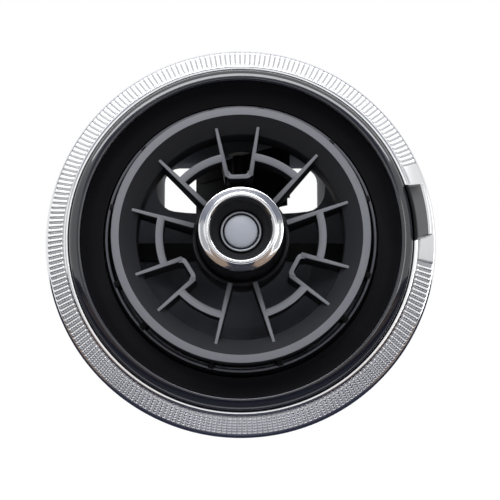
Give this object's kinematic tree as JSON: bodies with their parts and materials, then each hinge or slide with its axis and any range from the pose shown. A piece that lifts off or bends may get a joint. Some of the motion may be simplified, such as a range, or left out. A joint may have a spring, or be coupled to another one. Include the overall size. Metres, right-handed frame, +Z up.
{
  "type": "dashboard air vent",
  "caption": "Round dashboard air vent with a knurled chrome control ring, a slate spoked nozzle that aims, a chrome centre knob with a push button, and a duct with a damper flap.",
  "frame": {"origin": "on the vent's axis, in the plane of the flange's rear face that rests on the dashboard", "axes": "-Y out of the vent's face towards the occupant, +Y along the vent's axis into the dashboard, +Z up"},
  "size_m": [0.112, 0.0921, 0.112],
  "materials": {
    "bright_chrome": "bright plate",
    "dark_chrome": "dark polished plate",
    "black_plastic": "fine grain",
    "slate_plastic": "satin slate grey",
    "satin_silver": "satin silver",
    "spring_steel": "plain",
    "white_plastic": "natural low-friction plastic",
    "black_foam": "soft foam or elastomer"
  },
  "bodies": {
    "housing": {"housing": "black_plastic", "front_bowl": "black_plastic", "inner_trim_ring": "dark_chrome", "bowl_screw_1": "spring_steel", "bowl_screw_2": "spring_steel", "bowl_screw_3": "spring_steel", "snap_clip_1": "spring_steel", "snap_clip_2": "spring_steel", "snap_clip_3": "spring_steel", "snap_clip_4": "spring_steel", "pivot_bridge": "black_plastic", "duct_seal": "black_foam", "flap_bush_top": "white_plastic", "flap_bush_bottom": "white_plastic"},
    "ring": {"knurled_ring": "bright_chrome", "ring_carrier": "black_plastic"},
    "flap": {"flap": "black_plastic", "flap_lip_front": "black_foam", "flap_lip_rear": "black_foam", "flap_axle": "spring_steel", "axle_clip": "spring_steel", "flap_crank": "white_plastic"},
    "gimbal": {"gimbal_cross": "white_plastic"},
    "nozzle": {"nozzle_grille": "slate_plastic", "hub_core": "black_plastic", "knob_ring": "bright_chrome", "knob_dish": "black_plastic", "button_collar": "satin_silver", "button_spring": "spring_steel"},
    "button": {"centre_button": "satin_silver"}
  },
  "joints": [
    {"name": "tilt", "type": "hinge", "parent": "housing", "child": "gimbal", "pos_m": [0, -0.0025, 0], "axis": [1, 0, 0], "range_deg": [-15.5, 20.5]},
    {"name": "pan", "type": "hinge", "parent": "gimbal", "child": "nozzle", "pos_m": [0, -0.0025, 0], "axis": [0, 0.0436, 0.999], "range_deg": [-18, 18]},
    {"name": "ring_turn", "type": "hinge", "parent": "housing", "child": "ring", "pos_m": [0, 0, 0], "axis": [0, 1, 0], "range_deg": [-12.7, 20]},
    {"name": "flap_turn", "type": "hinge", "parent": "housing", "child": "flap", "pos_m": [0, 0.0415, 0], "axis": [0, 0, 1], "range_deg": [-35, 55.1]},
    {"name": "button_press", "type": "slide", "parent": "nozzle", "child": "button", "axis": [0, 0.999, -0.0436], "range_m": [0, 0.002], "stiffness_N_per_m": 600, "springref_m": -0.001, "deforming": ["button_spring"]}
  ],
  "couplings": [
    {"joint": "flap_turn", "follows": "ring_turn", "ratio": 2.75}
  ]
}
